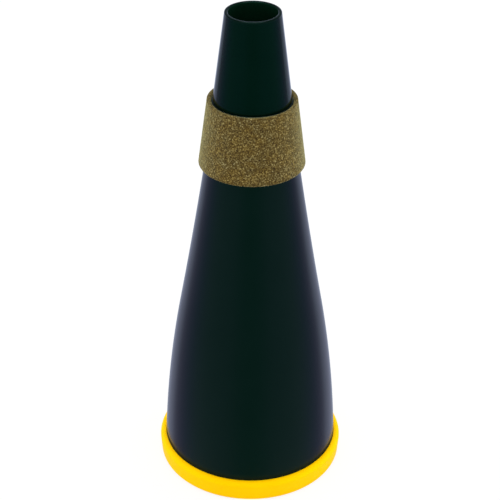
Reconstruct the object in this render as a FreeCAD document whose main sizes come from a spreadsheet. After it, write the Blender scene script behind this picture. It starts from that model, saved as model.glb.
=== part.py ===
import FreeCAD, Part
import math
import os
import re
import Sketcher

# Practice mute for a trumpet, standing on its wide end.
# Origin: centre of the resting face. +Z runs up the axis to the open neck. Millimetres.

SIZES = {
    # base cap: a soft cup pushed over the wide end
    "foot_height": 0.8,
    "foot_width": 5.6,
    "cap_floor": 1.8,
    "cap_height": 8.8,
    "cap_wall": 2.4,
    "cap_flare": 0.7,
    "cap_top_round": 1.5,
    "cap_foot_round": 0.6,
    "cap_clearance": 0.1,
    "vent_mouth_radius": 4.0,
    "vent_mouth_chamfer": 0.6,
    # end plate: closes the shell and carries the vent tube
    "plate_thickness": 2.2,
    "register_height": 5.0,
    "register_wall": 2.0,
    "register_draft": 0.5,
    "boss_radius": 5.5,
    "boss_height": 9.0,
    "rib_width": 1.6,
    "rib_height": 4.0,
    "rib_count": 6,
    "tube_stop": 1.0,
    # vent tube
    "tube_radius": 3.0,
    "tube_bore": 2.0,
    "tube_length": 64.4,
    "tube_chamfer": 0.3,
    "tube_clearance": 0.05,
    # body shell: it flares gently down to the belly, which curves back to an upright rim
    "base_radius": 36.0,
    "body_length": 133.3,
    "belly_length": 69.9,
    "belly_radius": 28.7,
    "waist_radius": 18.25,
    "flare_radius": 2190.0,
    "shell_wall": 1.8,
    # sleeve above the waist: the cork is glued round it and the neck sits inside it
    "sleeve_length": 26.4,
    "sleeve_half_angle": 6.2,
    "sleeve_throat": 4.4,
    "socket_depth": 16.0,
    "ledge_width": 1.6,
    "ledge_height": 1.5,
    "glue_gap": 0.1,
    # neck tube
    "neck_length": 35.5,
    "lip_radius": 10.6,
    "neck_half_angle": 7.2,
    "neck_wall": 1.5,
    "shoulder_width": 0.5,
    "lip_outer_round": 0.6,
    "lip_inner_round": 0.65,
    "neck_foot_chamfer": 0.5,
    # cork collar
    "collar_length": 26.8,
    "collar_half_angle": 7.36,
    "collar_wall": 2.4,
    "collar_edge_round": 0.35,
    "collar_inner_chamfer": 0.2,
    # foam inside the chamber
    "foam_clearance": 0.3,
    "pad_thickness": 10.0,
    "liner_thickness": 5.0,
    "liner_length": 106.0,
}

# Heights above the resting face and radii that follow from the sizes
PLATE_BOTTOM = "foot_height + cap_floor"
RIM = f"{PLATE_BOTTOM} + plate_thickness"
BELLY_TOP = f"{RIM} + belly_length"
WAIST = f"{RIM} + body_length"
SLEEVE_TOP = f"{WAIST} + sleeve_length"
SHOULDER = f"{SLEEVE_TOP} + glue_gap"
LEDGE = f"{SLEEVE_TOP} - socket_depth"
LIP = f"{SLEEVE_TOP} + neck_length"
COLLAR_TOP = f"{WAIST} + collar_length"
RIB_TOP = f"{RIM} + rib_height"
PAD_TOP = f"{RIB_TOP} + pad_thickness"
LINER_BOTTOM = f"{PAD_TOP} + foam_clearance"
LINER_TOP = f"{LINER_BOTTOM} + liner_length"
NECK_RADIUS = "lip_radius + neck_length * tan(neck_half_angle)"
SPIGOT_RADIUS = f"{NECK_RADIUS} - shoulder_width"
SOCKET_RADIUS = f"{SPIGOT_RADIUS} + glue_gap"
CAP_BORE = "base_radius + cap_clearance"
CAP_RADIUS = f"{CAP_BORE} + cap_wall"
REGISTER_RADIUS = "base_radius - shell_wall - glue_gap"
REGISTER_BORE = f"{REGISTER_RADIUS} - register_draft - register_wall"
BOSS_BORE = "tube_radius + tube_clearance"


document = FreeCAD.newDocument("PracticeMute")
sheet = document.addObject("Spreadsheet::Sheet", "Sizes")
for row, (alias, number) in enumerate(SIZES.items(), start=1):
    sheet.set(f"A{row}", alias)
    sheet.set(f"B{row}", str(number))
    sheet.setAlias(f"B{row}", alias)
document.recompute()


def value(expression):
    """The number that an expression of sizes gives."""
    return float(sheet.evalExpression(expression))


def bound(expression):
    """The expression with every size read from the sheet."""
    return re.sub(r"\b[a-z]+(?:_[a-z]+)+\b", lambda word: "Sizes." + word.group(0), expression)


def new_body(label):
    body = document.addObject("PartDesign::Body", label)
    body.Label = label
    body.Placement = FreeCAD.Placement()
    return body


def new_sketch(body, name, role="XZ_Plane", height=None):
    """A sketch on one of the body's own planes, raised to a height where one is given."""
    plane = [item for item in body.Origin.OriginFeatures if item.Role == role][0]
    sketch = body.newObject("Sketcher::SketchObject", name)
    sketch.AttachmentSupport = [(plane, "")]
    sketch.MapMode = "FlatFace"
    if height is not None:
        sketch.setExpression("AttachmentOffset.Base.z", bound(height))
    return sketch


def constrain(sketch, *parts, size=None):
    """Add one constraint, driven by an expression of sizes where one is given."""
    if size is None:
        sketch.addConstraint(Sketcher.Constraint(*parts))
        return
    index = sketch.addConstraint(Sketcher.Constraint(*parts, value(size)))
    sketch.setExpression(f"Constraints[{index}]", bound(size))


def place(sketch, edge, end, across, up):
    """Put an edge's end at a distance across from and up from the sketch's origin."""
    if across == "0":
        constrain(sketch, "PointOnObject", edge, end, -2)
    else:
        constrain(sketch, "DistanceX", -1, 1, edge, end, size=across)
    if up == "0":
        constrain(sketch, "PointOnObject", edge, end, -1)
    else:
        constrain(sketch, "DistanceY", -1, 1, edge, end, size=up)


def draw_polygon(sketch, corners):
    """A closed outline of straight edges through corners given as expressions."""
    points = [FreeCAD.Vector(value(across), value(up), 0) for across, up in corners]
    count = len(points)
    for index in range(count):
        sketch.addGeometry(Part.LineSegment(points[index], points[(index + 1) % count]), False)
    for index in range(count):
        constrain(sketch, "Coincident", index, 2, (index + 1) % count, 1)
    for index, (across, up) in enumerate(corners):
        place(sketch, index, 1, across, up)


def turn(body, name, sketch, kind="PartDesign::Revolution"):
    """Turn a sketch once round the mute's axis, adding or cutting."""
    feature = body.newObject(kind, name)
    feature.Profile = sketch
    feature.ReferenceAxis = (sketch, ["V_Axis"])
    feature.Angle = 360
    document.recompute()
    return feature


def turned_polygon(body, name, corners, kind="PartDesign::Revolution"):
    sketch = new_sketch(body, name + "_outline")
    draw_polygon(sketch, corners)
    return turn(body, name, sketch, kind)


def ring_edge(body, radius, height):
    """Name of the body's circular edge of a radius at a height."""
    for index, edge in enumerate(body.Tip.Shape.Edges, start=1):
        curve = edge.Curve
        if not isinstance(curve, Part.Circle):
            continue
        if abs(curve.Radius - value(radius)) < 1e-4 and abs(curve.Center.z - value(height)) < 1e-4:
            return f"Edge{index}"
    raise RuntimeError(f"{body.Label} has no edge of radius {radius} at height {height}")


def dress_edge(body, kind, name, radius, height, size):
    """Round or chamfer one circular edge."""
    edge = ring_edge(body, radius, height)
    feature = body.newObject(kind, name)
    feature.Base = (body.Tip if body.Tip != feature else feature.BaseFeature, [edge])
    feature.setExpression("Radius" if kind == "PartDesign::Fillet" else "Size", bound(size))
    document.recompute()


def repeat_round_axis(body, name, feature, count):
    """Repeat a feature evenly round the mute's axis."""
    pattern = body.newObject("PartDesign::PolarPattern", name)
    axis = [item for item in body.Origin.OriginFeatures if item.Role == "Z_Axis"][0]
    pattern.Originals = [feature]
    pattern.Axis = (axis, [""])
    pattern.Angle = 360
    pattern.setExpression("Occurrences", bound(count))
    body.Tip = pattern
    document.recompute()


def flank_points(depth, top, bottom):
    """The shell's flank, moved inwards by a depth: head, middle, belly top, middle, foot.

    The outer flank is a wide arc that flares from the waist down to the belly's top, then an arc
    of radius R tangent to it that ends at the rim. R is L*L / (2 n.d), where d runs from the rim
    to the belly's top, L is its length and n is the flank's outward normal there.
    """
    waist = FreeCAD.Vector(value("waist_radius"), value(WAIST), 0)
    belly = FreeCAD.Vector(value("belly_radius"), value(BELLY_TOP), 0)
    rim = FreeCAD.Vector(value("base_radius"), value(RIM), 0)
    flare = value("flare_radius")
    chord = waist - belly
    outwards = FreeCAD.Vector(chord.y, -chord.x, 0) / chord.Length
    flare_centre = (waist + belly) / 2 + outwards * math.sqrt(flare ** 2 - (chord.Length / 2) ** 2)
    normal = (flare_centre - belly) / flare
    chord = belly - rim
    radius = chord.dot(chord) / (2 * normal.dot(chord))
    belly_centre = belly - normal * radius
    inset = value(depth)
    corner = belly - normal * inset
    side = math.copysign(1, radius)
    head = point_at_height(flare_centre, -1, flare + inset, value(top))
    foot = point_at_height(belly_centre, side, abs(radius - inset), value(bottom))
    flare_middle = point_at_height(flare_centre, -1, flare + inset, (head.y + corner.y) / 2)
    belly_middle = point_at_height(belly_centre, side, abs(radius - inset), (corner.y + foot.y) / 2)
    return head, flare_middle, corner, belly_middle, foot


def point_at_height(centre, side, radius, height):
    """The point of a circle at a height, on its right (1) or left (-1) side."""
    across = centre.x + side * math.sqrt(radius ** 2 - (height - centre.y) ** 2)
    return FreeCAD.Vector(across, height, 0)


def add_flank(sketch, depth, top, bottom, construction):
    """The flank's two arcs. Returns the flare's and the belly's numbers."""
    head, flare_middle, corner, belly_middle, foot = flank_points(depth, top, bottom)
    flare = sketch.addGeometry(Part.Arc(head, flare_middle, corner), construction)
    belly = sketch.addGeometry(Part.Arc(foot, belly_middle, corner), construction)
    return flare, belly


def draw_guide(sketch, construction):
    """The shell's outer flank, set by its radii at the waist, the belly's top and the rim."""
    flare, belly = add_flank(sketch, "0", WAIST, RIM, construction)
    place(sketch, flare, upper_end(sketch, flare), "waist_radius", WAIST)
    place(sketch, flare, lower_end(sketch, flare), "belly_radius", BELLY_TOP)
    constrain(sketch, "Radius", flare, size="flare_radius")
    constrain(sketch, "Tangent", belly, upper_end(sketch, belly), flare, lower_end(sketch, flare))
    place(sketch, belly, lower_end(sketch, belly), "base_radius", RIM)
    return flare, belly


def draw_flank(sketch, guide, depth, top, bottom):
    """Two arcs about the guide's centres, inside it by a depth."""
    flare, belly = add_flank(sketch, depth, top, bottom, False)
    constrain(sketch, "Coincident", flare, 3, guide[0], 3)
    constrain(sketch, "Coincident", belly, 3, guide[1], 3)
    constrain(sketch, "Radius", flare, size=f"flare_radius + {depth}")
    constrain(sketch, "Tangent", belly, upper_end(sketch, belly), flare, lower_end(sketch, flare))
    constrain(sketch, "DistanceY", -1, 1, flare, upper_end(sketch, flare), size=top)
    constrain(sketch, "DistanceY", -1, 1, belly, lower_end(sketch, belly), size=bottom)
    return flare, belly


def upper_end(sketch, arc):
    """Which end of an arc is its upper one."""
    return 1 if sketch.getPoint(arc, 1).y > sketch.getPoint(arc, 2).y else 2


def lower_end(sketch, arc):
    return 3 - upper_end(sketch, arc)


def join(sketch, start, end, corners=()):
    """Straight edges from one edge's end to another's, through corners given as expressions."""
    points = [sketch.getPoint(*start)]
    points += [FreeCAD.Vector(value(across), value(up), 0) for across, up in corners]
    points.append(sketch.getPoint(*end))
    previous = start
    for index, (tail, head) in enumerate(zip(points, points[1:])):
        edge = sketch.addGeometry(Part.LineSegment(tail, head), False)
        constrain(sketch, "Coincident", edge, 1, *previous)
        if index < len(corners):
            place(sketch, edge, 2, *corners[index])
        previous = (edge, 2)
    constrain(sketch, "Coincident", *previous, *end)


def join_heads(sketch, outer, inner, corners=()):
    """Straight edges between the upper ends of two flanks."""
    join(sketch, (outer[0], upper_end(sketch, outer[0])), (inner[0], upper_end(sketch, inner[0])),
         corners)


def join_feet(sketch, outer, inner):
    """A straight edge between the lower ends of two flanks."""
    join(sketch, (outer[1], lower_end(sketch, outer[1])), (inner[1], lower_end(sketch, inner[1])))


def make_base_cap():
    """A cup with a foot ring, a recessed underside and a central vent mouth."""
    body = new_body("base_cap")
    foot_radius = f"{CAP_RADIUS} - cap_flare"
    turned_polygon(body, "cup", [
        ("vent_mouth_radius", "foot_height"),
        (f"{foot_radius} - foot_width", "foot_height"),
        (f"{foot_radius} - foot_width", "0"),
        (foot_radius, "0"),
        (CAP_RADIUS, "cap_height"),
        (CAP_BORE, "cap_height"),
        (CAP_BORE, PLATE_BOTTOM),
        ("vent_mouth_radius", PLATE_BOTTOM),
    ])
    dress_edge(body, "PartDesign::Fillet", "top_round", CAP_RADIUS, "cap_height", "cap_top_round")
    dress_edge(body, "PartDesign::Fillet", "foot_round", foot_radius, "0", "cap_foot_round")
    dress_edge(body, "PartDesign::Chamfer", "vent_mouth", "vent_mouth_radius", "foot_height",
               "vent_mouth_chamfer")
    return body


def make_end_plate():
    """A ribbed disc with a register ring inside the rim and a boss for the vent tube."""
    body = new_body("end_plate")
    turned_polygon(body, "disc", [
        ("tube_bore", PLATE_BOTTOM),
        ("base_radius", PLATE_BOTTOM),
        ("base_radius", RIM),
        (REGISTER_RADIUS, RIM),
        (f"{REGISTER_RADIUS} - register_draft", f"{RIM} + register_height"),
        (REGISTER_BORE, f"{RIM} + register_height"),
        (REGISTER_BORE, RIM),
        ("boss_radius", RIM),
        ("boss_radius", f"{RIM} + boss_height"),
        (BOSS_BORE, f"{RIM} + boss_height"),
        (BOSS_BORE, f"{PLATE_BOTTOM} + tube_stop"),
        ("tube_bore", f"{PLATE_BOTTOM} + tube_stop"),
    ])
    sketch = new_sketch(body, "rib_outline", "XY_Plane", RIM)
    rib_start = "(boss_radius + tube_radius) / 2"
    rib_end = f"{REGISTER_BORE} + register_wall / 2"
    corners = [
        (rib_start, "0"),
        (rib_end, "0"),
        (rib_end, "rib_width"),
        (rib_start, "rib_width"),
    ]
    draw_polygon(sketch, corners)
    sketch.setExpression("AttachmentOffset.Base.y", bound("-rib_width / 2"))
    rib = body.newObject("PartDesign::Pad", "rib")
    rib.Profile = sketch
    rib.setExpression("Length", bound("rib_height"))
    document.recompute()
    repeat_round_axis(body, "ribs", rib, "rib_count")
    return body


def make_vent_tube():
    """A plain tube that stands on the stop inside the boss."""
    body = new_body("vent_tube")
    foot = f"{PLATE_BOTTOM} + tube_stop"
    head = f"{foot} + tube_length"
    turned_polygon(body, "tube", [
        ("tube_bore", foot),
        ("tube_radius", foot),
        ("tube_radius", head),
        ("tube_bore", head),
    ])
    dress_edge(body, "PartDesign::Chamfer", "head_chamfer", "tube_radius", head, "tube_chamfer")
    dress_edge(body, "PartDesign::Chamfer", "foot_chamfer", "tube_radius", foot, "tube_chamfer")
    return body


def make_body_shell():
    """The bellied wall of even thickness. Above its waist a sleeve holds the neck on a ledge."""
    body = new_body("body_shell")
    sketch = new_sketch(body, "wall_outline")
    outer = draw_guide(sketch, False)
    inner = draw_flank(sketch, outer, "shell_wall", WAIST, RIM)
    join_feet(sketch, outer, inner)
    throat = "waist_radius - shell_wall - sleeve_throat * tan(sleeve_half_angle)"
    join_heads(sketch, outer, inner, [
        ("waist_radius - sleeve_length * tan(sleeve_half_angle)", SLEEVE_TOP),
        (SOCKET_RADIUS, SLEEVE_TOP),
        (SOCKET_RADIUS, LEDGE),
        (f"{SOCKET_RADIUS} - ledge_width", LEDGE),
        (f"{SOCKET_RADIUS} - ledge_width", f"{LEDGE} - ledge_height"),
        (throat, f"{WAIST} + sleeve_throat"),
    ])
    turn(body, "wall", sketch)
    return body


def make_neck_tube():
    """A conical tube whose shoulder covers the sleeve's end, over a spigot down to the ledge."""
    body = new_body("neck_tube")
    turned_polygon(body, "cone", [
        (f"{NECK_RADIUS} - neck_wall", LEDGE),
        (SPIGOT_RADIUS, LEDGE),
        (SPIGOT_RADIUS, SHOULDER),
        (NECK_RADIUS, SHOULDER),
        ("lip_radius", LIP),
        ("lip_radius - neck_wall", LIP),
        (f"{NECK_RADIUS} - neck_wall", SLEEVE_TOP),
    ])
    dress_edge(body, "PartDesign::Fillet", "lip_outside", "lip_radius", LIP, "lip_outer_round")
    dress_edge(body, "PartDesign::Fillet", "lip_inside", "lip_radius - neck_wall", LIP,
               "lip_inner_round")
    dress_edge(body, "PartDesign::Chamfer", "foot_chamfer", SPIGOT_RADIUS, LEDGE,
               "neck_foot_chamfer")
    return body


def make_cork_collar():
    """A full ring of cork round the sleeve, ground to a taper that is steeper than its bore."""
    body = new_body("cork_collar")
    bore_bottom = "waist_radius + glue_gap"
    bore_top = f"{bore_bottom} - collar_length * tan(sleeve_half_angle)"
    outside_bottom = f"{bore_bottom} + collar_wall"
    outside_top = f"{outside_bottom} - collar_length * tan(collar_half_angle)"
    turned_polygon(body, "ring", [
        (bore_bottom, WAIST),
        (outside_bottom, WAIST),
        (outside_top, COLLAR_TOP),
        (bore_top, COLLAR_TOP),
    ])
    dress_edge(body, "PartDesign::Fillet", "top_round", outside_top, COLLAR_TOP,
               "collar_edge_round")
    dress_edge(body, "PartDesign::Fillet", "bottom_round", outside_bottom, WAIST,
               "collar_edge_round")
    dress_edge(body, "PartDesign::Chamfer", "inner_chamfer", bore_top, COLLAR_TOP,
               "collar_inner_chamfer")
    return body


def make_foam_pad():
    """A disc of foam on the plate's ribs, round the boss."""
    body = new_body("foam_pad")
    turned_polygon(body, "disc", [
        ("boss_radius + foam_clearance", RIB_TOP),
        (f"{REGISTER_BORE} - foam_clearance", RIB_TOP),
        (f"{REGISTER_BORE} - foam_clearance", PAD_TOP),
        ("boss_radius + foam_clearance", PAD_TOP),
    ])
    return body


def make_foam_liner():
    """A sleeve of foam of even thickness against the shell's inner wall."""
    body = new_body("foam_liner")
    sketch = new_sketch(body, "sleeve_outline")
    guide = draw_guide(sketch, True)
    outer_depth = "shell_wall + foam_clearance"
    inner_depth = f"{outer_depth} + liner_thickness"
    outer = draw_flank(sketch, guide, outer_depth, LINER_TOP, LINER_BOTTOM)
    inner = draw_flank(sketch, guide, inner_depth, LINER_TOP, LINER_BOTTOM)
    join_feet(sketch, outer, inner)
    join_heads(sketch, outer, inner)
    turn(body, "sleeve", sketch)
    return body


bodies = [
    make_base_cap(),
    make_end_plate(),
    make_vent_tube(),
    make_body_shell(),
    make_neck_tube(),
    make_cork_collar(),
    make_foam_pad(),
    make_foam_liner(),
]

document.recompute()
for item in document.Objects:
    if "Invalid" in item.State or "Error" in item.State:
        raise RuntimeError(f"{item.Name} did not compute: {item.State}")
for body in bodies:
    if body.Shape.isNull() or not body.Shape.isValid():
        raise RuntimeError(f"{body.Label} has no valid shape")

os.makedirs("parts", exist_ok=True)
for body in bodies:
    body.Shape.exportStep(f"parts/{body.Label}.step")
    print(f"{body.Label}: {len(body.Shape.Solids)} solid, {body.Shape.Volume:.1f} mm3")
print(f"overall height {value(LIP):.2f} mm, widest {2 * value(CAP_RADIUS):.2f} mm")
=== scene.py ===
import math

import bpy
import numpy as np
from mathutils import Matrix, Vector


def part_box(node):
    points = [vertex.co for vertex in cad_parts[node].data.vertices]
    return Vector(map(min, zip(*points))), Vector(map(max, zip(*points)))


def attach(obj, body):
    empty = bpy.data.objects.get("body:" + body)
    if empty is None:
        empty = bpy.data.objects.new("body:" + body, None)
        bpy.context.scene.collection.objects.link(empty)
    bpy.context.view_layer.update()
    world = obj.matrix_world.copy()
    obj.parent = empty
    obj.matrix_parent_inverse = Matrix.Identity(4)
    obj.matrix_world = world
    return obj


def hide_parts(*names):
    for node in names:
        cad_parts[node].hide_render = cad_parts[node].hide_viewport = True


# A practice mute that stands on its wide end. Metres, +Z up the axis, origin under the base.

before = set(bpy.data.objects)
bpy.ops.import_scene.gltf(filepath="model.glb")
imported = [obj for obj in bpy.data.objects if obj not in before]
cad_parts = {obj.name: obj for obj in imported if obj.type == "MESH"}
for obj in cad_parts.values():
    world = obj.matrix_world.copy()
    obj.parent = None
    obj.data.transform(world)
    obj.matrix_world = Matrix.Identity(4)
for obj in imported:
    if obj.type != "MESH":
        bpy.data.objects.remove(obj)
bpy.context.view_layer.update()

MM = 0.001

# Sizes that the frame's boxes don't give, as in the construction
CAP_WALL = 2.4 * MM
CAP_FLARE = 0.7 * MM
CAP_CLEARANCE = 0.1 * MM
FOOT_HEIGHT = 0.8 * MM
FOOT_WIDTH = 5.6 * MM
VENT_MOUTH_RADIUS = 4.0 * MM
BELLY_LENGTH = 69.9 * MM
BELLY_RADIUS = 28.7 * MM
WAIST_RADIUS = 18.25 * MM
FLARE_RADIUS = 2190.0 * MM
SHELL_WALL = 1.8 * MM
SLEEVE_HALF_ANGLE = math.radians(6.2)
SLEEVE_THROAT = 4.4 * MM
LEDGE_WIDTH = 1.6 * MM
LEDGE_HEIGHT = 1.5 * MM
GLUE_GAP = 0.1 * MM
LIP_RADIUS = 10.6 * MM
NECK_WALL = 1.5 * MM
SHOULDER_WIDTH = 0.5 * MM
COLLAR_HALF_ANGLE = math.radians(7.36)
COLLAR_WALL = 2.4 * MM
FOAM_CLEARANCE = 0.3 * MM
LINER_THICKNESS = 5.0 * MM
BOSS_RADIUS = 5.5 * MM

# Roundings as they look
SHARP = 0.1 * MM                  # of an edge that looks sharp
CAP_TOP_ROUND = 2.2 * MM
CAP_FOOT_ROUND = 1.1 * MM
FOOT_INNER_ROUND = 0.3 * MM
RECESS_ROUND = 0.15 * MM
VENT_MOUTH_ROUND = 0.4 * MM
CAP_GRIP = 0.02 * MM              # gap left where the cap's top edge closes on the shell
SPIGOT_ROUND = 0.4 * MM
LIP_OUTER_ROUND = 0.4 * MM
LIP_INNER_ROUND = 0.5 * MM
NECK_BORE_BEND = 1.0 * MM         # where the neck's straight bore turns into its cone
# Deeper than this the bore is matt and painted lighter, as painted light inside the tube
MATT_PAINTED_DEPTH = 0.9                  # share of the neck's wall, from outside, that stays glossy
CORK_BOTTOM_ROUND = 0.4 * MM
CORK_TOP_ROUND = 0.2 * MM
CORK_BORE_ROUND = 0.2 * MM
CORK_MOUTH_ROUND = 0.9 * MM       # of the cork's top edge beside the neck
# The pad's, from its bottom edge at the boss outwards, up and back
PAD_ROUNDS = (0.5 * MM, 0.8 * MM, 1.6 * MM, 1.2 * MM)

# The cork's skin. Widths and slopes are in granules
GRANULE = 0.7 * MM
GROOVE_WIDTH = 0.25
GROOVE_DEPTH = 0.05 * MM
GRANULE_DEPTH = 0.03 * MM         # how much lower the lowest granule lies than the highest
TORN_TONE = 0.93                  # granules with a higher tone are torn out
TORN_DEPTH = 0.08 * MM
TORN_SLOPE = 3.0

# The foam's skin
PORE_REACH = 0.6                  # of a pore, in cells
PORE_DEPTH = 0.25 * MM
CELL_DEPTH = 0.1 * MM             # how much lower the lowest cell lies than the highest

# Wear on the black skins, as heights over the cap and depths under the lip
SCUFF_START, SCUFF_END = 1.0 * MM, 2.6 * MM
SCUFF_ROUGHNESS = 0.35
SHELL_POLISH = 0.32
LIP_WEAR_START, LIP_WEAR_END = 0.8 * MM, 0.5 * MM
LIP_POLISH = 0.35

# Steps of the meshes
SIDES = 288                       # round the axis of a smooth piece
CORK_SIDES = 560
CORNER_STEPS = 8                  # round a rounded corner
SHELL_STEPS = 90                  # down the shell's flank
LINER_STEPS = 60
EDGE_STEP = 2.0 * MM
CORK_STEP = 0.24 * MM
FOAM_STEP = 0.9 * MM


# Profiles: arrays of (radius, height)

def spread(start, end, step):
    """Points from start towards end, evenly spaced, end left out: start + t (end - start)."""
    start, end = np.asarray(start, float), np.asarray(end, float)
    count = max(1, int(math.ceil(np.linalg.norm(end - start) / step)))
    share = np.arange(count)[:, None] / count
    return start + share * (end - start)


def rounded_loop(corners, *steps):
    """A closed profile through corners (radius, height, rounding).

    The steps are the spacing of the points on the edge that follows each corner, in turn. A
    corner between two edges at an angle w is replaced by the arc of its rounding, which touches
    both edges at rounding / tan(w / 2) from it.
    """
    points = np.array([corner[:2] for corner in corners], float)
    count = len(points)
    arcs = []
    for index in range(count):
        here = points[index]
        rounding = corners[index][2]
        back = points[index - 1] - here
        ahead = points[(index + 1) % count] - here
        back /= np.linalg.norm(back)
        ahead /= np.linalg.norm(ahead)
        if rounding <= 0:
            arcs.append(here[None, :])
            continue
        half = math.acos(np.clip(back @ ahead, -1, 1)) / 2
        bisector = (back + ahead) / np.linalg.norm(back + ahead)
        centre = here + bisector * rounding / math.sin(half)
        first = here + back * rounding / math.tan(half) - centre
        last = here + ahead * rounding / math.tan(half) - centre
        turn = np.linspace(0, 1, CORNER_STEPS + 1)[:, None]
        sweep = math.pi - 2 * half
        arc = (np.sin((1 - turn) * sweep) * first + np.sin(turn * sweep) * last) / math.sin(sweep)
        arcs.append(centre + arc)
    pieces = []
    for index in range(count):
        arc = arcs[index]
        pieces.append(arc[:-1])
        pieces.append(spread(arc[-1], arcs[(index + 1) % count][0], steps[index % len(steps)]))
    return np.vstack(pieces)


def flank(depth, top, bottom, steps):
    """The shell's flank from top to bottom, moved inwards by a depth.

    The outer flank flares along an arc of the given radius through the waist and the belly's
    top. Its centre lies outside, at sqrt(radius^2 - (chord / 2)^2) from the chord's middle. The
    belly is an arc tangent to it that ends at the rim. R = L*L / (2 n.d), where d runs from the
    rim to the belly's top, L is its length and n is the flank's outward normal there. At a depth
    the radii are radius + depth and R - depth about the same centres.
    """
    waist = np.array([WAIST_RADIUS, waist_height])
    belly = np.array([BELLY_RADIUS, belly_top])
    rim = np.array([base_radius, rim_height])
    chord = waist - belly
    outwards = np.array([chord[1], -chord[0]]) / np.linalg.norm(chord)
    flare_centre = (waist + belly) / 2 + outwards * math.sqrt(FLARE_RADIUS ** 2 - chord @ chord / 4)
    normal = (flare_centre - belly) / FLARE_RADIUS
    chord = belly - rim
    radius = chord @ chord / (2 * normal @ chord)
    belly_centre = belly - radius * normal
    corner = belly - depth * normal
    flare_height = np.linspace(top, corner[1], steps // 2, endpoint=False)
    rise = flare_height - flare_centre[1]
    flare_across = flare_centre[0] - np.sqrt((FLARE_RADIUS + depth) ** 2 - rise ** 2)
    belly_height = np.linspace(corner[1], bottom, steps)
    rise = belly_height - belly_centre[1]
    belly_across = belly_centre[0] + np.sqrt((radius - depth) ** 2 - rise ** 2)
    return np.column_stack([
        np.concatenate([flare_across, belly_across]),
        np.concatenate([flare_height, belly_height]),
    ])


# Surfaces

def mesh_piece(node, slot, material, vertices, faces, inside=None):
    """A smooth mesh that stands for a CAD node and rides on the root body.

    Where inside is given, it is a material and a function that gives a radius at each height, and
    the faces nearer to the axis than that radius have the material.
    """
    name = node + "_dressed"
    mesh = bpy.data.meshes.new(name)
    mesh.from_pydata(vertices.reshape(-1, 3), [], faces)
    mesh.update()
    mesh.shade_smooth()
    mesh.materials.append(material)
    if inside is not None:
        mesh.materials.append(inside[0])
        centres = vertices.reshape(-1, 3)[np.array(faces)].mean(axis=1)
        is_inside = np.hypot(centres[:, 0], centres[:, 1]) < inside[1](centres[:, 2])
        mesh.polygons.foreach_set("material_index", is_inside.astype(np.int32))
    piece = bpy.data.objects.new(name, mesh)
    bpy.context.scene.collection.objects.link(piece)
    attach(piece, "root")
    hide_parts(node)
    return piece


def turned(profile, sides, relief=None):
    """A closed profile turned about +Z: (r cos a, r sin a, z) for every angle a.

    Where a relief is given, it is an array of heights over the grid of angles and profile points,
    and each point moves by its height along the profile's outward normal.
    """
    angle = np.linspace(0, 2 * math.pi, sides, endpoint=False)[:, None]
    radius = np.broadcast_to(profile[:, 0], (sides, len(profile))).copy()
    height = np.broadcast_to(profile[:, 1], (sides, len(profile))).copy()
    if relief is not None:
        along = np.roll(profile, -1, axis=0) - np.roll(profile, 1, axis=0)
        normal = np.column_stack([along[:, 1], -along[:, 0]])
        normal /= np.linalg.norm(normal, axis=1)[:, None]
        radius += relief * normal[:, 0]
        height += relief * normal[:, 1]
    vertices = np.stack([radius * np.cos(angle), radius * np.sin(angle), height], axis=-1)
    across, up = np.meshgrid(np.arange(sides), np.arange(len(profile)), indexing="ij")
    next_across, next_up = (across + 1) % sides, (up + 1) % len(profile)
    count = len(profile)
    faces = np.stack([
        across * count + up,
        next_across * count + up,
        next_across * count + next_up,
        across * count + next_up,
    ], axis=-1).reshape(-1, 4)
    return vertices, faces.tolist()


def outward(profile):
    """The closed profile run anticlockwise in (radius, height), so that faces point outwards."""
    following = np.roll(profile, -1, axis=0)
    area = np.sum(profile[:, 0] * following[:, 1] - following[:, 0] * profile[:, 1])
    return profile if area > 0 else profile[::-1]


def cells(across, along, seed):
    """Worley cells on a sheet that wraps across: nearest distance, edge distance, random tone.

    Each unit square holds one random point. The nearest and the second nearest of the points in
    the nine squares about a place give its cell and how far it lies from the cell's edge.
    """
    columns = int(round(across.max())) + 1
    rows = int(math.ceil(along.max())) + 3
    rng = np.random.default_rng(seed)
    seeds = rng.random((columns, rows, 3))
    column = np.floor(across).astype(int)
    row = np.floor(along).astype(int)
    near = np.full(across.shape, 9.0)
    second = np.full(across.shape, 9.0)
    tone = np.zeros(across.shape)
    for step_across in (-1, 0, 1):
        for step_along in (-1, 0, 1):
            point = seeds[(column + step_across) % columns, (row + step_along) % rows]
            away = np.hypot(column + step_across + point[..., 0] - across,
                            row + step_along + point[..., 1] - along)
            closer = away < near
            second = np.where(closer, near, np.minimum(second, away))
            tone = np.where(closer, point[..., 2], tone)
            near = np.where(closer, away, near)
    return near, second - near, tone


def skin_cells(profile, sides, bore, cell, seed):
    """Cells of a size on a turned piece's skin.

    Their place across is the angle, stretched to a whole number of cells round the bore, and
    their place along is the length run along the profile.
    """
    around = np.linspace(0, round(2 * math.pi * bore / cell), sides, endpoint=False)[:, None]
    steps = np.linalg.norm(np.diff(profile, axis=0), axis=1)
    along = np.concatenate([[0], np.cumsum(steps)]) / cell
    shape = (sides, len(profile))
    return cells(np.broadcast_to(around, shape), np.broadcast_to(along, shape), seed)


# Heights and radii read from the frame

cap_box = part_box("base_cap")
plate_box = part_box("end_plate")
shell_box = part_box("body_shell")
neck_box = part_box("neck_tube")
collar_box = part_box("cork_collar")
pad_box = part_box("foam_pad")
liner_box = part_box("foam_liner")

cap_top = cap_box[1].z
plate_bottom = plate_box[0].z
rim_height = shell_box[0].z
base_radius = shell_box[1].x
sleeve_top = shell_box[1].z
waist_height = collar_box[0].z
belly_top = rim_height + BELLY_LENGTH
ledge_height = neck_box[0].z
lip_height = neck_box[1].z
neck_radius = neck_box[1].x
spigot_radius = neck_radius - SHOULDER_WIDTH
socket_radius = spigot_radius + GLUE_GAP
cap_bore = base_radius + CAP_CLEARANCE
cap_radius = cap_bore + CAP_WALL


# Materials

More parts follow.
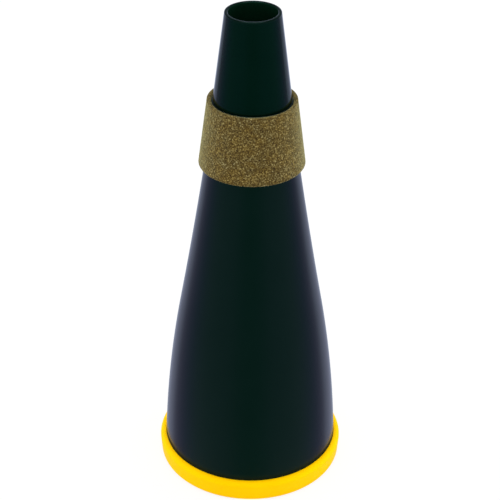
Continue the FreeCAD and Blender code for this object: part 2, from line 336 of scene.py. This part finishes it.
def new_material(name):
    """A material with its node tree, its Principled shader and its Object coordinates."""
    material = bpy.data.materials.new(name)
    material.use_nodes = True
    tree = material.node_tree
    shader = tree.nodes["Principled BSDF"]
    place = tree.nodes.new("ShaderNodeTexCoord")
    return material, tree, shader, place.outputs["Object"]


def add_node(tree, kind, inputs=None, **settings):
    """A node with its settings. Each input, by name or number, is a socket or a plain value."""
    node = tree.nodes.new(kind)
    for key, setting in settings.items():
        setattr(node, key, setting)
    for key, source in (inputs or {}).items():
        if isinstance(source, bpy.types.NodeSocket):
            tree.links.new(source, node.inputs[key])
        else:
            node.inputs[key].default_value = source
    return node


def noise(tree, place, scale, detail, roughness=0.5):
    """Soft noise of a scale, in cells per metre."""
    return add_node(tree, "ShaderNodeTexNoise", {
        "Vector": place, "Scale": scale, "Detail": detail, "Roughness": roughness,
    })


def calculate(tree, operation, *terms):
    """The result of a calculation. Each of its terms is a socket or a plain number."""
    return add_node(tree, "ShaderNodeMath", dict(enumerate(terms)), operation=operation).outputs[0]


def map_range(tree, source, low, high, start=0.0, end=1.0, interpolation="LINEAR"):
    """A value carried from low and high to start and end, and held at the ends."""
    numbers = dict(enumerate((source, low, high, start, end)))
    node = add_node(tree, "ShaderNodeMapRange", numbers, interpolation_type=interpolation)
    return node.outputs["Result"]


def smooth_step(tree, source, low, high, start=0.0, end=1.0):
    """A value that goes smoothly from start at low to end at high."""
    return map_range(tree, source, low, high, start, end, "SMOOTHSTEP")


def mix_values(tree, factor, first, second):
    """A mix of two numbers."""
    mix = add_node(tree, "ShaderNodeMix", {0: factor, 2: first, 3: second}, data_type="FLOAT")
    return mix.outputs[0]


def mix_colours(tree, factor, first, second, blend="MIX"):
    """A colour mix. Each of the two colours is a socket or a plain colour."""
    inputs = {0: factor}
    for number, colour in ((6, first), (7, second)):
        inputs[number] = (*colour, 1.0) if isinstance(colour, tuple) else colour
    mix = add_node(tree, "ShaderNodeMix", inputs, data_type="RGBA", blend_type=blend)
    return mix.outputs[2]


def colour_ramp(tree, source, stops, low=0.0):
    """Colours at stops (value, colour), for values from low to 1."""
    if low != 0.0:
        source = map_range(tree, source, low, 1.0)
    ramp = add_node(tree, "ShaderNodeValToRGB", {"Fac": source})
    while len(ramp.color_ramp.elements) < len(stops):
        ramp.color_ramp.elements.new(0.5)
    for element, (position, colour) in zip(ramp.color_ramp.elements, stops):
        element.position = (position - low) / (1.0 - low)
        element.color = (*colour, 1.0)
    return ramp.outputs["Color"]


def new_group(name, inputs, outputs):
    """A shader node group: inputs are (name, socket kind, default), outputs (name, kind)."""
    tree = bpy.data.node_groups.new(name, "ShaderNodeTree")
    for label, kind, default in inputs:
        socket = tree.interface.new_socket(label, in_out="INPUT", socket_type=kind)
        if default is not None:
            socket.default_value = default
    for label, kind in outputs:
        tree.interface.new_socket(label, in_out="OUTPUT", socket_type=kind)
    return tree, tree.nodes.new("NodeGroupInput"), tree.nodes.new("NodeGroupOutput")


def moulded_group():
    """Moulded plastic: a fine die texture, slow patches of gloss and a few hairline rubs."""
    tree, given, made = new_group("moulded_skin", [
        ("Place", "NodeSocketVector", None),
        ("Grain per metre", "NodeSocketFloat", 2500.0),
        ("Roughness", "NodeSocketFloat", 0.3),
        ("Patchiness", "NodeSocketFloat", 0.05),
        ("Rubs", "NodeSocketFloat", 0.1),
    ], [("Roughness", "NodeSocketFloat"), ("Height", "NodeSocketFloat")])
    place = given.outputs["Place"]
    grain = noise(tree, place, given.outputs["Grain per metre"], detail=3.0, roughness=0.55)
    patches = noise(tree, place, scale=45.0, detail=2.0)
    stretch = add_node(tree, "ShaderNodeMapping", {"Vector": place, "Scale": (900.0, 900.0, 60.0)})
    hair = noise(tree, stretch.outputs["Vector"], scale=1.0, detail=2.0, roughness=0.7)
    rub = map_range(tree, hair.outputs["Fac"], low=0.66, high=0.8)
    centred = calculate(tree, "SUBTRACT", patches.outputs["Fac"], 0.5)
    drift = calculate(tree, "MULTIPLY", centred, given.outputs["Patchiness"])
    base = calculate(tree, "ADD", given.outputs["Roughness"], drift)
    worn = calculate(tree, "MULTIPLY_ADD", rub, given.outputs["Rubs"], base)
    tree.links.new(worn, made.inputs["Roughness"])
    tree.links.new(grain.outputs["Fac"], made.inputs["Height"])
    return tree


def granule_group():
    """Packed granules or cells: a tone for each one, its dark edge and its height."""
    tree, given, made = new_group("granules", [
        ("Place", "NodeSocketVector", None),
        ("Granules per metre", "NodeSocketFloat", 1300.0),
        ("Edge", "NodeSocketFloat", 0.12),
    ], [
        ("Tone", "NodeSocketFloat"),
        ("Edge mask", "NodeSocketFloat"),
        ("Height", "NodeSocketFloat"),
    ])
    place = given.outputs["Place"]
    wobble = noise(tree, place, scale=900.0, detail=2.0)
    reach = 0.6 * MM
    edge_drop = 0.6
    bend = add_node(tree, "ShaderNodeVectorMath", {
        0: wobble.outputs["Color"], 1: (reach, reach, reach), 2: place,
    }, operation="MULTIPLY_ADD")
    bent = {"Vector": bend.outputs["Vector"], "Scale": given.outputs["Granules per metre"]}
    cell = add_node(tree, "ShaderNodeTexVoronoi", bent, feature="F1")
    edge = add_node(tree, "ShaderNodeTexVoronoi", bent, feature="DISTANCE_TO_EDGE")
    split = add_node(tree, "ShaderNodeSeparateColor", {"Color": cell.outputs["Color"]})
    mask = smooth_step(tree, edge.outputs["Distance"], 0.0, given.outputs["Edge"], 1.0, 0.0)
    height = calculate(tree, "MULTIPLY_ADD", mask, -edge_drop, split.outputs["Green"])
    tree.links.new(split.outputs["Red"], made.inputs["Tone"])
    tree.links.new(mask, made.inputs["Edge mask"])
    tree.links.new(height, made.inputs["Height"])
    return tree


MOULDED = moulded_group()
GRANULES = granule_group()


def place_group(tree, group, place, **values):
    """A group node fed with the coordinates and its own values."""
    node = tree.nodes.new("ShaderNodeGroup")
    node.node_tree = group
    tree.links.new(place, node.inputs["Place"])
    for key, number in values.items():
        node.inputs[key.replace("_", " ")].default_value = number
    return node


def add_bump(tree, shader, height, strength, depth):
    """Fine relief of a depth in the shader's normal."""
    bump = add_node(tree, "ShaderNodeBump",
                    {"Height": height, "Strength": strength, "Distance": depth})
    tree.links.new(bump.outputs["Normal"], shader.inputs["Normal"])


def set_inputs(shader, **values):
    """Plain values on the shader's own sockets."""
    for key, value in values.items():
        shader.inputs[key.replace("_", " ")].default_value = value


def plastic(name, low, high, tint, bump, shine=0.5, **skin):
    """Moulded plastic whose colour drifts from low to high, with its own gloss and grain."""
    material, tree, shader, place = new_material(name)
    cloud = noise(tree, place, scale=60.0, detail=3.0)
    colour = colour_ramp(tree, cloud.outputs["Fac"], ((0.3, low), (0.7, high)))
    tree.links.new(colour, shader.inputs["Base Color"])
    set_inputs(shader, Specular_Tint=(*tint, 1.0), Specular_IOR_Level=shine, Coat_Roughness=0.18,
               Coat_IOR=1.3)
    node = place_group(tree, MOULDED, place, **skin)
    tree.links.new(node.outputs["Roughness"], shader.inputs["Roughness"])
    add_bump(tree, shader, node.outputs["Height"], strength=bump, depth=0.02 * MM)
    return material


def over_height(material, low, high, below, above):
    """A value that goes from one level to another between two heights on a piece."""
    tree = material.node_tree
    place = tree.nodes["Texture Coordinate"].outputs["Object"]
    split = add_node(tree, "ShaderNodeSeparateXYZ", {"Vector": place})
    return smooth_step(tree, split.outputs["Z"], low, high, below, above)


def polish_above(material, low, high, polish):
    """The polish that wear leaves on a piece over a height."""
    tree = material.node_tree
    coat = tree.nodes["Principled BSDF"].inputs["Coat Weight"]
    tree.links.new(over_height(material, low, high, 0.0, polish), coat)


def scuff_below(material, low, high, added):
    """Rubbed skin under a height, where a pushed-on piece has scuffed it."""
    tree = material.node_tree
    rough = tree.nodes["Principled BSDF"].inputs["Roughness"]
    scuff = over_height(material, low, high, added, 0.0)
    tree.links.new(calculate(tree, "ADD", rough.links[0].from_socket, scuff), rough)


CORK_TONES = (
    (0.28, (0.026, 0.013, 0.002)),
    (0.445, (0.085, 0.053, 0.009)),
    (0.555, (0.136, 0.094, 0.021)),
    (0.73, (0.345, 0.285, 0.115)),
)
CORK_HUES = (
    (0.35, (1.05, 0.98, 0.76)),
    (0.65, (0.97, 1.01, 1.17)),
)
CORK_JOINT = (0.05, 0.032, 0.010)
JOINT_SHARE = 0.45                # of a joint's own colour, in its middle
SPECK_SHARE = 0.82                # of fine speckle in a granule's tone
# The foam's grey, with painted shade: darkest in each pore, lightest on the cell walls
FOAM_TONES_AND_PORE_SHADE = (
    (0.0, (0.012, 0.0125, 0.014)),
    (1.0, (0.055, 0.056, 0.06)),
)


def cork_material():
    """Agglomerated cork: pressed granules from dark brown to tan, with dark joints."""
    material, tree, shader, place = new_material("ground_cork")
    node = place_group(tree, GRANULES, place, Granules_per_metre=2100.0, Edge=0.16)
    speck = noise(tree, place, scale=1750.0, detail=1.0, roughness=0.6)
    mixed = mix_values(tree, SPECK_SHARE, node.outputs["Tone"], speck.outputs["Fac"])
    tone = colour_ramp(tree, mixed, CORK_TONES)
    cloud = noise(tree, place, scale=230.0, detail=2.0)
    hue = colour_ramp(tree, cloud.outputs["Fac"], CORK_HUES)
    warmed = mix_colours(tree, 1.0, tone, hue, "MULTIPLY")
    shade = calculate(tree, "MULTIPLY", node.outputs["Edge mask"], JOINT_SHARE)
    jointed = mix_colours(tree, shade, warmed, CORK_JOINT)
    tree.links.new(jointed, shader.inputs["Base Color"])
    rough = map_range(tree, node.outputs["Tone"], 0.0, 1.0, start=0.72, end=0.9)
    tree.links.new(rough, shader.inputs["Roughness"])
    set_inputs(shader, Specular_IOR_Level=0.15, Sheen_Weight=0.53, Sheen_Roughness=0.35,
               Sheen_Tint=(0.94, 0.97, 0.50, 1.0))
    add_bump(tree, shader, node.outputs["Height"], strength=0.5, depth=0.12 * MM)
    return material


def foam_material():
    """Open-cell foam: dark grey, with a pore at each cell, each pore painted darker than the walls
    round it as painted shade.
    """
    material, tree, shader, place = new_material("open_foam")
    node = place_group(tree, GRANULES, place, Granules_per_metre=1100.0, Edge=0.3)
    colour = colour_ramp(tree, node.outputs["Edge mask"], FOAM_TONES_AND_PORE_SHADE)
    tree.links.new(colour, shader.inputs["Base Color"])
    rough = map_range(tree, node.outputs["Tone"], 0.0, 1.0, start=0.85, end=0.97)
    tree.links.new(rough, shader.inputs["Roughness"])
    add_bump(tree, shader, node.outputs["Edge mask"], strength=0.8, depth=0.3 * MM)
    return material


satin_black = plastic(
    "satin_black", low=(0.0003, 0.0012, 0.0011), high=(0.0006, 0.0018, 0.0018),
    tint=(0.28, 0.92, 0.86), bump=0.25,
    Grain_per_metre=2600.0, Roughness=0.30, Patchiness=0.06, Rubs=0.05)
gloss_black = plastic(
    "gloss_black", low=(0.0003, 0.0044, 0.0026), high=(0.0006, 0.0052, 0.0034),
    tint=(0.20, 0.98, 0.86), bump=0.06, shine=0.25,
    Grain_per_metre=1200.0, Roughness=0.05, Patchiness=0.03, Rubs=0.05)
# The bore's plastic: matt, and painted lighter and greener than the neck's outside, as painted
# light inside the tube
matt_bore_painted_light = plastic(
    "matt_bore_painted_light", low=(0.0010, 0.0150, 0.0065), high=(0.0018, 0.0200, 0.0090),
    tint=(0.2, 0.9, 0.6), bump=0.3, shine=0.2,
    Grain_per_metre=1800.0, Roughness=0.55, Patchiness=0.06, Rubs=0.05)
yellow_vinyl = plastic(
    "yellow_vinyl", low=(0.99, 0.565, 0.0003), high=(1.0, 0.585, 0.0006),
    tint=(1.0, 0.75, 0.2), bump=0.15, shine=0.03,
    Grain_per_metre=1800.0, Roughness=0.45, Patchiness=0.08, Rubs=0.08)
plate_black = plastic(
    "plate_black", low=(0.006, 0.007, 0.0075), high=(0.010, 0.011, 0.012),
    tint=(0.8, 0.95, 1.0), bump=0.35,
    Grain_per_metre=2200.0, Roughness=0.45, Patchiness=0.1, Rubs=0.05)
tube_black = plastic(
    "tube_black", low=(0.014, 0.014, 0.015), high=(0.020, 0.020, 0.022),
    tint=(0.9, 0.95, 1.0), bump=0.2,
    Grain_per_metre=3000.0, Roughness=0.35, Patchiness=0.05, Rubs=0.1)
ground_cork = cork_material()
open_foam = foam_material()

polish_above(satin_black, cap_top + SCUFF_START, cap_top + SCUFF_END, SHELL_POLISH)
scuff_below(satin_black, cap_top + SCUFF_START, cap_top + SCUFF_END, SCUFF_ROUGHNESS)
polish_above(gloss_black, lip_height - LIP_WEAR_START, lip_height - LIP_WEAR_END, LIP_POLISH)


# Pieces

def make_base_cap():
    """A cup: foot ring, recessed underside with the vent's mouth, wall that closes on the shell."""
    foot_radius = cap_radius - CAP_FLARE
    radius, height = flank(0.0, waist_height, rim_height, SHELL_STEPS)[::-1].T
    edge_bore = np.interp(cap_top, height, radius) + CAP_GRIP
    profile = rounded_loop([
        (VENT_MOUTH_RADIUS, FOOT_HEIGHT, VENT_MOUTH_ROUND),
        (foot_radius - FOOT_WIDTH, FOOT_HEIGHT, RECESS_ROUND),
        (foot_radius - FOOT_WIDTH, 0.0, FOOT_INNER_ROUND),
        (foot_radius, 0.0, CAP_FOOT_ROUND),
        (cap_radius, cap_top, CAP_TOP_ROUND),
        (edge_bore, cap_top, SHARP),
        (cap_bore, rim_height, 0.0),
        (cap_bore, plate_bottom, SHARP),
        (VENT_MOUTH_RADIUS, plate_bottom, SHARP),
    ], EDGE_STEP)
    mesh_piece("base_cap", "cap", yellow_vinyl, *turned(outward(profile), SIDES))


def make_body_shell():
    """The bellied wall of even thickness, with the sleeve and ledge that hold the neck."""
    outer = flank(0.0, waist_height, rim_height, SHELL_STEPS)
    inner = flank(SHELL_WALL, waist_height, rim_height, SHELL_STEPS)
    throat = WAIST_RADIUS - SHELL_WALL - SLEEVE_THROAT * math.tan(SLEEVE_HALF_ANGLE)
    rise = sleeve_top - waist_height
    sleeve = [
        (throat, waist_height + SLEEVE_THROAT),
        (socket_radius - LEDGE_WIDTH, ledge_height - LEDGE_HEIGHT),
        (socket_radius - LEDGE_WIDTH, ledge_height),
        (socket_radius, ledge_height),
        (socket_radius, sleeve_top),
        (WAIST_RADIUS - rise * math.tan(SLEEVE_HALF_ANGLE), sleeve_top),
    ]
    profile = np.vstack([outer, inner[::-1], sleeve])
    mesh_piece("body_shell", "shell", satin_black, *turned(outward(profile), SIDES))


def make_neck_tube():
    """A cone of even wall with a rounded lip, and a shoulder over its straight spigot."""
    shoulder = sleeve_top + GLUE_GAP
    profile = rounded_loop([
        (neck_radius - NECK_WALL, ledge_height, SHARP),
        (spigot_radius, ledge_height, SPIGOT_ROUND),
        (spigot_radius, shoulder, 0.0),
        (neck_radius, shoulder, SHARP),
        (LIP_RADIUS, lip_height, LIP_OUTER_ROUND),
        (LIP_RADIUS - NECK_WALL, lip_height, LIP_INNER_ROUND),
        (neck_radius - NECK_WALL, sleeve_top, NECK_BORE_BEND),
    ], EDGE_STEP)
    taper = (neck_radius - LIP_RADIUS) / (lip_height - sleeve_top)

    # Inside this radius the bore is matt and painted lighter, as painted light inside the tube
    def matt_painted_bore_radius(height):
        return LIP_RADIUS - NECK_WALL * MATT_PAINTED_DEPTH + (lip_height - height) * taper

    mesh_piece("neck_tube", "neck", gloss_black, *turned(outward(profile), SIDES),
               inside=(matt_bore_painted_light, matt_painted_bore_radius))


def make_cork_collar():
    """A tapered ring of cork whose skin is broken into granules, some of them torn out.

    Its relief is -(groove + granule + torn): a groove that deepens with the square of the
    nearness to a granule's edge, each granule's own level, and a dip over each torn one.
    """
    bottom, top = collar_box[0].z, collar_box[1].z
    bore = WAIST_RADIUS + GLUE_GAP
    length = top - bottom
    profile = outward(rounded_loop([
        (bore, bottom, CORK_BORE_ROUND),
        (bore + COLLAR_WALL, bottom, CORK_BOTTOM_ROUND),
        (bore + COLLAR_WALL - length * math.tan(COLLAR_HALF_ANGLE), top, CORK_TOP_ROUND),
        (bore - length * math.tan(SLEEVE_HALF_ANGLE), top, CORK_MOUTH_ROUND),
    ], CORK_STEP, CORK_STEP, CORK_STEP, EDGE_STEP))
    _, edge, tone = skin_cells(profile, CORK_SIDES, bore, GRANULE, seed=7)
    groove = GROOVE_DEPTH * np.clip(1 - edge / GROOVE_WIDTH, 0, 1) ** 2
    torn = TORN_DEPTH * (tone > TORN_TONE) * np.clip(edge * TORN_SLOPE, 0, 1)
    relief = -groove - GRANULE_DEPTH * tone - torn
    mesh_piece("cork_collar", "cork", ground_cork, *turned(profile, CORK_SIDES, relief))


def make_foam(node, profile, sides, pore, seed):
    """A turned foam piece whose skin dips inwards at each pore.

    Its relief is -(pore + cell): a dip that deepens towards the nearest pore, and each cell's own
    level.
    """
    profile = outward(profile)
    near, _, tone = skin_cells(profile, sides, profile[:, 0].max(), pore, seed)
    relief = -PORE_DEPTH * np.clip(1 - near / PORE_REACH, 0, 1) - CELL_DEPTH * tone
    piece = mesh_piece(node, "foam", open_foam, *turned(profile, sides, relief))


def make_foam_pad():
    """A disc of foam with softly rounded, porous edges, round the plate's boss."""
    inside = BOSS_RADIUS + FOAM_CLEARANCE
    bottom, top = pad_box
    corners = ((inside, bottom.z), (top.x, bottom.z), (top.x, top.z), (inside, top.z))
    profile = rounded_loop([(*corner, rounding) for corner, rounding in zip(corners, PAD_ROUNDS)],
                           FOAM_STEP)
    make_foam("foam_pad", profile, sides=200, pore=2.2 * MM, seed=11)


def make_foam_liner():
    """A sleeve of foam against the shell's wall, with soft, porous ends."""
    outside = SHELL_WALL + FOAM_CLEARANCE
    low, high = liner_box[0].z, liner_box[1].z
    outer = flank(outside, high, low, LINER_STEPS)
    inner = flank(outside + LINER_THICKNESS, high, low, LINER_STEPS)
    bridge_low = spread(outer[-1], inner[-1], FOAM_STEP)[1:]
    bridge_high = spread(inner[0], outer[0], FOAM_STEP)[1:]
    profile = np.vstack([outer, bridge_low, inner[::-1], bridge_high])
    make_foam("foam_liner", profile, sides=220, pore=2.4 * MM, seed=13)


def dress_plate_and_tube():
    """The end plate and the vent tube keep their own shapes and get their plastics."""
    for node, material in (("end_plate", plate_black), ("vent_tube", tube_black)):
        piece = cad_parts[node]
        piece.data.materials.clear()
        piece.data.materials.append(material)


make_base_cap()
make_body_shell()
make_neck_tube()
make_cork_collar()
make_foam_pad()
make_foam_liner()
dress_plate_and_tube()


# Stage

WHITE = (1.0, 1.0, 1.0)
STUDIO_LEVEL = 1.0                    # light on a matt surface from all round

# What gloss mirrors below the horizon, from the camera's side to the lit sweep behind the mute:
# the cosine from the middle of the sweep, and the colour there
GLOSS_ROUND = (
    (-1.0, (0.08, 0.20, 0.15)),
    (-0.86, (0.17, 0.235, 0.225)),
    (-0.30, (0.19, 0.245, 0.25)),
    (0.08, (0.17, 0.19, 0.30)),
    (0.34, (0.21, 0.18, 0.33)),
    (0.48, (0.24, 0.21, 0.34)),
)
# The same over the sweep
GLOSS_SWEEP = (
    (0.86, (0.44, 0.45, 0.63)),
    (1.0, (0.66, 0.76, 1.00)),
)
GLOSS_ABOVE = (0.08, 0.085, 0.09)     # above the horizon, where the studio is dark
SWEEP_LEFT = (0.60, 0.635)            # cosines between which the sweep's left edge fades
SWEEP_RIGHT = (0.535, 0.57)           # and its right edge
SWEEP_MIDDLE = (-0.05, 0.05)          # and where its left half turns into its right half
HORIZON = (0.50, 0.00)                # heights between which the sweep's light begins

FLOOR_RADIUS = 25.0
FLOOR_SIDES = 144
FLOOR_DROP = 0.2 * MM                 # below the foot, so that the two don't touch
FLOOR_COLOUR = (0.9, 0.9, 0.9, 1.0)
FOOT_OVERLAP = 1.2 * MM               # how far the floor reaches under the foot
SHADOW_SHARE = 0.15                   # how much of the object's shadow the white floor shows

# Name, place, point that it faces, width, level and whether gloss mirrors it
LAMPS = (
    ("overhead", (0.0, 0.0, 1.3), (0.0, 0.0, 0.1), 0.9, 1.7, True),
    ("left_fill", (-1.6, 0.4, 0.6), (0.0, 0.0, 0.06), 1.2, 2.1, False),
    ("right_fill", (1.6, 0.4, 0.6), (0.0, 0.0, 0.06), 1.2, 2.5, False),
)

CAMERA_SENSOR = 36.0                  # millimetres
CAMERA_LENS = 109.07                  # millimetres
CAMERA_CLIP = (0.01, 100.0)
CAMERA_PLACE = (-0.00052, -0.5159, 0.4154)
CAMERA_DOWN = 31.614                  # degrees below the horizon
CAMERA_ROLL = 0.0070                  # radians


def make_world():
    """White to the camera, a plain level of light all round, and a dimmer studio for gloss."""
    world = bpy.data.worlds.new("studio")
    bpy.context.scene.world = world
    world.use_nodes = True
    tree = world.node_tree
    background = tree.nodes["Background"]
    background.inputs["Strength"].default_value = STUDIO_LEVEL
    path = add_node(tree, "ShaderNodeLightPath")
    direction = add_node(tree, "ShaderNodeTexCoord").outputs["Generated"]
    whole = add_node(tree, "ShaderNodeSeparateXYZ", {"Vector": direction})
    flat = add_node(tree, "ShaderNodeVectorMath", {0: direction, 1: (1.0, 1.0, 0.0)},
                    operation="MULTIPLY")
    unit = add_node(tree, "ShaderNodeVectorMath", {0: flat.outputs["Vector"]},
                    operation="NORMALIZE")
    level = add_node(tree, "ShaderNodeSeparateXYZ", {"Vector": unit.outputs["Vector"]})
    left = smooth_step(tree, level.outputs["Y"], *SWEEP_LEFT)
    right = smooth_step(tree, level.outputs["Y"], *SWEEP_RIGHT)
    to_right = smooth_step(tree, level.outputs["X"], *SWEEP_MIDDLE)
    sweep = mix_values(tree, to_right, left, right)
    around = colour_ramp(tree, level.outputs["Y"], GLOSS_ROUND, low=-1.0)
    behind = colour_ramp(tree, level.outputs["Y"], GLOSS_SWEEP)
    below = mix_colours(tree, sweep, around, behind)
    lit = smooth_step(tree, whole.outputs["Z"], *HORIZON)
    gloss = mix_colours(tree, lit, GLOSS_ABOVE, below)
    seen = mix_colours(tree, path.outputs["Is Glossy Ray"], WHITE, gloss)
    tree.links.new(seen, background.inputs["Color"])


def floor_material():
    """White to the camera apart from a share of shadow, matt to light, and clear from below."""
    material = bpy.data.materials.new("white_floor")
    material.use_nodes = True
    tree = material.node_tree
    tree.nodes.remove(tree.nodes["Principled BSDF"])
    matt = add_node(tree, "ShaderNodeBsdfDiffuse", {"Color": FLOOR_COLOUR})
    glow = add_node(tree, "ShaderNodeEmission", {"Color": (*WHITE, 1.0), "Strength": 1.0})
    clear = add_node(tree, "ShaderNodeBsdfTransparent")
    path = add_node(tree, "ShaderNodeLightPath")
    side = add_node(tree, "ShaderNodeNewGeometry")
    white = calculate(tree, "MULTIPLY", path.outputs["Is Camera Ray"], 1.0 - SHADOW_SHARE)
    above = add_node(tree, "ShaderNodeMixShader",
                     {0: white, 1: matt.outputs["BSDF"], 2: glow.outputs["Emission"]})
    final = add_node(tree, "ShaderNodeMixShader", {
        0: side.outputs["Backfacing"], 1: above.outputs["Shader"], 2: clear.outputs["BSDF"],
    })
    tree.links.new(final.outputs["Shader"], tree.nodes["Material Output"].inputs["Surface"])
    return material


def make_floor():
    """A plain floor: a flat ring, (r cos a, r sin a, 0) for every angle a, from hole to edge.

    The studio lights the mute's underside through the hole, which the foot covers.
    """
    angle = np.linspace(0, 2 * math.pi, FLOOR_SIDES, endpoint=False)[:, None]
    radius = np.array([[cap_radius - CAP_FLARE - FOOT_OVERLAP, FLOOR_RADIUS]])
    across, along = radius * np.cos(angle), radius * np.sin(angle)
    place = np.stack([across, along, np.zeros(across.shape)], axis=-1)
    inner = 2 * np.arange(FLOOR_SIDES)
    following = np.roll(inner, -1)
    faces = np.column_stack([inner, inner + 1, following + 1, following])
    mesh = bpy.data.meshes.new("floor")
    mesh.from_pydata(place.reshape(-1, 3), [], faces.tolist())
    mesh.materials.append(floor_material())
    floor = bpy.data.objects.new("floor", mesh)
    bpy.context.scene.collection.objects.link(floor)
    floor.location.z = -FLOOR_DROP
    floor.visible_glossy = False


def make_lamp(name, place, aim, size, level, mirrored):
    """A soft square lamp that faces a point, with its brightness per area as a level."""
    light = bpy.data.lights.new(name, "AREA")
    light.shape = "SQUARE"
    light.size = size
    light.energy = level * math.pi * size * size
    lamp = bpy.data.objects.new(name, light)
    bpy.context.scene.collection.objects.link(lamp)
    lamp.location = place
    lamp.visible_glossy = mirrored
    lamp.rotation_euler = (Vector(aim) - Vector(place)).to_track_quat("-Z", "Y").to_euler()


def make_camera():
    """The photograph's view: a long lens from the front and above, turned a little."""
    camera_data = bpy.data.cameras.new("camera")
    camera_data.sensor_width = CAMERA_SENSOR
    camera_data.lens = CAMERA_LENS
    camera_data.clip_start, camera_data.clip_end = CAMERA_CLIP
    camera = bpy.data.objects.new("camera", camera_data)
    bpy.context.scene.collection.objects.link(camera)
    camera.matrix_world = (
        Matrix.Translation(CAMERA_PLACE)
        @ Matrix.Rotation(math.radians(90.0 - CAMERA_DOWN), 4, "X")
        @ Matrix.Rotation(CAMERA_ROLL, 4, "Z")
    )
    bpy.context.scene.camera = camera


make_world()
make_floor()
for lamp in LAMPS:
    make_lamp(*lamp)
make_camera()

bpy.context.scene.view_settings.view_transform = "Standard"
